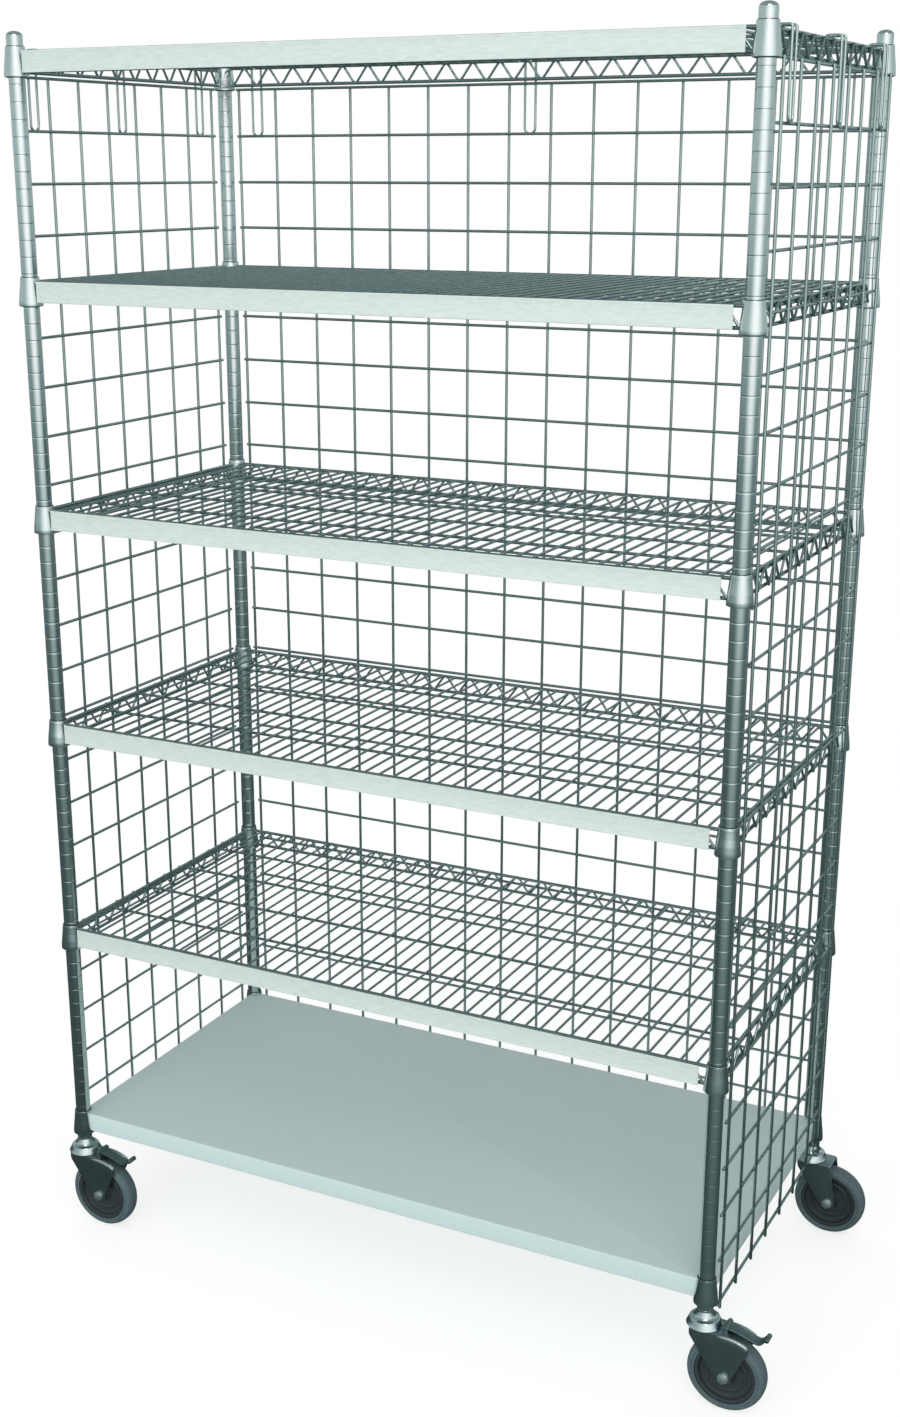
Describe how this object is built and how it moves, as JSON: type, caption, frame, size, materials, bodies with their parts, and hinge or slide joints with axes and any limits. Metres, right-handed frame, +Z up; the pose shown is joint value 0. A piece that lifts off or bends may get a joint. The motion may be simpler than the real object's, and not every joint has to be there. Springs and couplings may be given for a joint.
{
  "type": "wire shelving cart",
  "caption": "Tall wire shelving cart: tube posts carry wire shelves and a solid base shelf, with wire panels on back and sides, an open front, and swivel casters, braked at the front.",
  "frame": {"origin": "on the floor, under the middle of the cart's box", "axes": "+Z up, +X to the right seen from the open front, +Y towards the back panel"},
  "size_m": [1.315, 0.6284, 2.0341],
  "materials": {
    "post": "bright plated tube, grooved each 25.4 mm",
    "cap": "bright plated",
    "shelf": "bright plated welded wire",
    "panel": "bright plated welded wire",
    "base": "satin plated sheet",
    "strip": "pale satin plastic",
    "sleeve": "black moulded",
    "stem": "zinc plated, turned",
    "fork": "zinc plated, pressed",
    "axle": "zinc plated",
    "core": "grey moulded nylon",
    "tyre": "grey moulded rubber",
    "pedal": "dark plated steel"
  },
  "bodies": {
    "frame": {"post_front_left": "post", "post_front_right": "post", "post_back_left": "post", "post_back_right": "post", "cap_front_left": "cap", "cap_front_right": "cap", "cap_back_left": "cap", "cap_back_right": "cap", "wire_shelf_1": "shelf", "wire_shelf_2": "shelf", "wire_shelf_3": "shelf", "wire_shelf_4": "shelf", "wire_shelf_5": "shelf", "front_strip_1": "strip", "front_strip_2": "strip", "front_strip_3": "strip", "front_strip_4": "strip", "front_strip_5": "strip", "base_shelf": "base", "panel_back": "panel", "panel_left": "panel", "panel_right": "panel", "caster_stem_front_left": "stem", "caster_stem_front_right": "stem", "caster_stem_back_left": "stem", "caster_stem_back_right": "stem"},
    "fork_front_left": {"caster_fork_front_left": "fork", "axle_front_left": "axle"},
    "fork_front_right": {"caster_fork_front_right": "fork", "axle_front_right": "axle"},
    "fork_back_left": {"caster_fork_back_left": "fork", "axle_back_left": "axle"},
    "fork_back_right": {"caster_fork_back_right": "fork", "axle_back_right": "axle"},
    "wheel_front_left": {"wheel_core_front_left": "core", "tyre_front_left": "tyre"},
    "wheel_front_right": {"wheel_core_front_right": "core", "tyre_front_right": "tyre"},
    "wheel_back_left": {"wheel_core_back_left": "core", "tyre_back_left": "tyre"},
    "wheel_back_right": {"wheel_core_back_right": "core", "tyre_back_right": "tyre"},
    "pedal_front_left": {"brake_pedal_front_left": "pedal"},
    "pedal_front_right": {"brake_pedal_front_right": "pedal"}
  },
  "joints": [
    {"name": "swivel_front_left", "type": "hinge", "parent": "frame", "child": "fork_front_left", "pos_m": [-0.62905, -0.28575, 0.138], "axis": [0, 0, 1], "continuous": true},
    {"name": "swivel_front_right", "type": "hinge", "parent": "frame", "child": "fork_front_right", "pos_m": [0.55205, -0.28575, 0.138], "axis": [0, 0, 1], "continuous": true},
    {"name": "swivel_back_left", "type": "hinge", "parent": "frame", "child": "fork_back_left", "pos_m": [-0.62905, 0.28575, 0.138], "axis": [0, 0, 1], "continuous": true},
    {"name": "swivel_back_right", "type": "hinge", "parent": "frame", "child": "fork_back_right", "pos_m": [0.55205, 0.28575, 0.138], "axis": [0, 0, 1], "continuous": true},
    {"name": "spin_front_left", "type": "hinge", "parent": "fork_front_left", "child": "wheel_front_left", "pos_m": [-0.58905, -0.28575, 0.0635], "axis": [0, 1, 0], "continuous": true},
    {"name": "spin_front_right", "type": "hinge", "parent": "fork_front_right", "child": "wheel_front_right", "pos_m": [0.59205, -0.28575, 0.0635], "axis": [0, 1, 0], "continuous": true},
    {"name": "spin_back_left", "type": "hinge", "parent": "fork_back_left", "child": "wheel_back_left", "pos_m": [-0.58905, 0.28575, 0.0635], "axis": [0, 1, 0], "continuous": true},
    {"name": "spin_back_right", "type": "hinge", "parent": "fork_back_right", "child": "wheel_back_right", "pos_m": [0.59205, 0.28575, 0.0635], "axis": [0, 1, 0], "continuous": true},
    {"name": "brake_front_left", "type": "hinge", "parent": "fork_front_left", "child": "pedal_front_left", "pos_m": [-0.59155, -0.28575, 0.145], "axis": [0, 1, 0], "range_deg": [0, 14]},
    {"name": "brake_front_right", "type": "hinge", "parent": "fork_front_right", "child": "pedal_front_right", "pos_m": [0.58955, -0.28575, 0.145], "axis": [0, 1, 0], "range_deg": [0, 14]}
  ]
}
